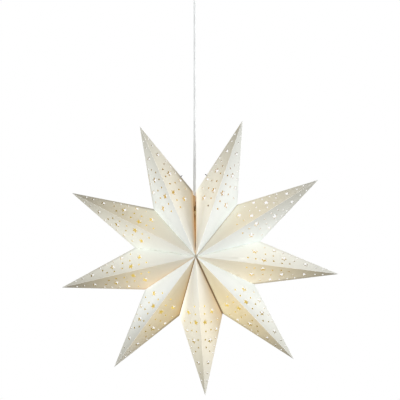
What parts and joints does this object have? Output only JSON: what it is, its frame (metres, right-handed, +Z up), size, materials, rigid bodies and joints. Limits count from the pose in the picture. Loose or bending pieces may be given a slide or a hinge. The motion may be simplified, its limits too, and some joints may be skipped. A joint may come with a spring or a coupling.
{
  "type": "paper star lantern",
  "caption": "Folded paper star lantern with punched points, hanging on its cord from a ceiling rose, with a lit bulb inside.",
  "frame": {"origin": "centre of the two ceiling screw holes, in the plane of the ceiling; the cord hangs straight down from there", "axes": "+Z up, out of the ceiling face; -Y is the star's front, +Y its back and the star's thin direction; +X to the right seen from the front"},
  "size_m": [0.5889, 0.1492, 0.925],
  "materials": {
    "paper": "matt white star paper, folded, faintly fibrous, warmed from inside near the hub",
    "spring_wire": "dark drawn spring wire",
    "holder_plastic": "white thermoplastic, satin",
    "insert_ceramic": "unglazed off-white ceramic",
    "brass": "bright pressed brass",
    "plated_steel": "zinc-plated steel",
    "core_insulation": "smooth coloured insulation, one core blue and one brown",
    "grip_nylon": "white nylon, satin",
    "bulb_opal": "opal glass, lit warm white",
    "cord_sheath": "round white sheath, smooth and slightly glossy",
    "rose_plastic": "white moulded plastic, smooth",
    "block_plastic": "cream nylon"
  },
  "bodies": {
    "root": {"point_1": "paper", "point_2": "paper", "point_3": "paper", "point_4": "paper", "point_5": "paper", "point_6": "paper", "point_7": "paper", "point_8": "paper", "point_9": "paper", "wire_bracket": "spring_wire", "shade_ring": "holder_plastic", "holder_barrel": "holder_plastic", "holder_insert": "insert_ceramic", "screw_shell": "brass", "centre_contact": "brass", "terminal_screws": "plated_steel", "holder_cores": "core_insulation", "holder_cap": "holder_plastic", "holder_grip": "grip_nylon", "bulb": "bulb_opal", "cord": "cord_sheath", "rose_cup": "rose_plastic", "rose_strap": "plated_steel", "side_screws": "plated_steel", "rose_grip": "grip_nylon", "rose_nut": "plated_steel", "terminal_block": "block_plastic", "rose_cores": "core_insulation"}
  },
  "joints": []
}
